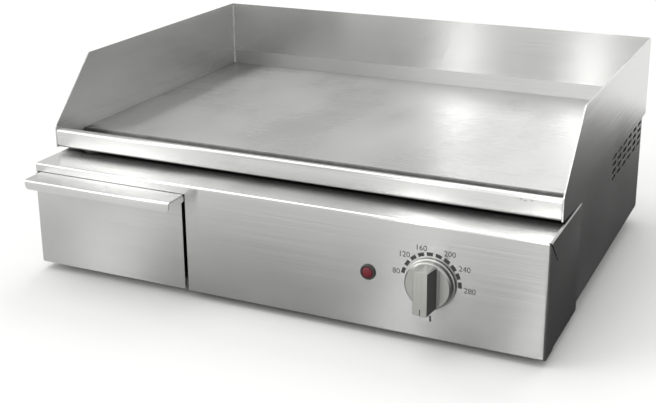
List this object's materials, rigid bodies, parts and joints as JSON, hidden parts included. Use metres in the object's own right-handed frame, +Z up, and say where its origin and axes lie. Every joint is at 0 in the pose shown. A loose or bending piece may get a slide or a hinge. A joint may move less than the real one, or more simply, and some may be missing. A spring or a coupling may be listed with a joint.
{
  "type": "flat top griddle",
  "caption": "Bench-top electric flat griddle with a splash guard on three sides, a front grease trough, a pull-out grease drawer and a thermostat knob.",
  "frame": {"origin": "bottom centre of the bounding box, in the plane of the feet", "axes": "+X to the right as seen from the front, +Y towards the rear splash guard, +Z up"},
  "size_m": [0.6, 0.4906, 0.235],
  "materials": {
    "plate_steel": "ground steel cooking surface",
    "sheet_steel": "brushed stainless sheet",
    "dark_steel": "dull steel",
    "knob_metal": "satin silver",
    "black_plastic": "matte black",
    "red_lens": "translucent red, modelled opaque",
    "ceramic": null,
    "mineral_wool": "mineral wool",
    "rubber": "black rubber"
  },
  "bodies": {
    "griddle_body": {"griddle_plate": "plate_steel", "grease_trough": "sheet_steel", "drain_spout": "sheet_steel", "side_panel_left": "sheet_steel", "side_panel_right": "sheet_steel", "splash_back": "sheet_steel", "rear_panel": "sheet_steel", "base_pan": "sheet_steel", "control_box": "sheet_steel", "drawer_runner_left": "dark_steel", "drawer_runner_right": "dark_steel", "thermostat_bulb": "dark_steel", "thermostat_capillary": "dark_steel", "heating_element_left": "dark_steel", "heating_element_right": "dark_steel", "heat_shield": "dark_steel", "element_clamp_1": "dark_steel", "element_clamp_2": "dark_steel", "element_clamp_3": "dark_steel", "fascia_screw_1": "dark_steel", "fascia_screw_2": "dark_steel", "thermostat_body": "black_plastic", "lamp_bezel": "black_plastic", "lamp_body": "black_plastic", "cable_gland": "black_plastic", "lamp_lens": "red_lens", "terminal_block": "ceramic", "insulation_pad": "mineral_wool", "foot_front_left": "rubber", "foot_front_right": "rubber", "foot_rear_left": "rubber", "foot_rear_right": "rubber"},
    "drawer": {"drawer_front": "sheet_steel", "drawer_tub": "sheet_steel"},
    "knob": {"thermostat_knob": "knob_metal", "thermostat_shaft": "dark_steel"}
  },
  "joints": [
    {"name": "drawer_slide", "type": "slide", "parent": "griddle_body", "child": "drawer", "axis": [0, -1, 0], "range_m": [0, 0.16]},
    {"name": "thermostat_turn", "type": "hinge", "parent": "griddle_body", "child": "knob", "pos_m": [0.1812, -0.21475, 0.0689], "axis": [0, 1, 0], "range_deg": [0, 273]}
  ]
}
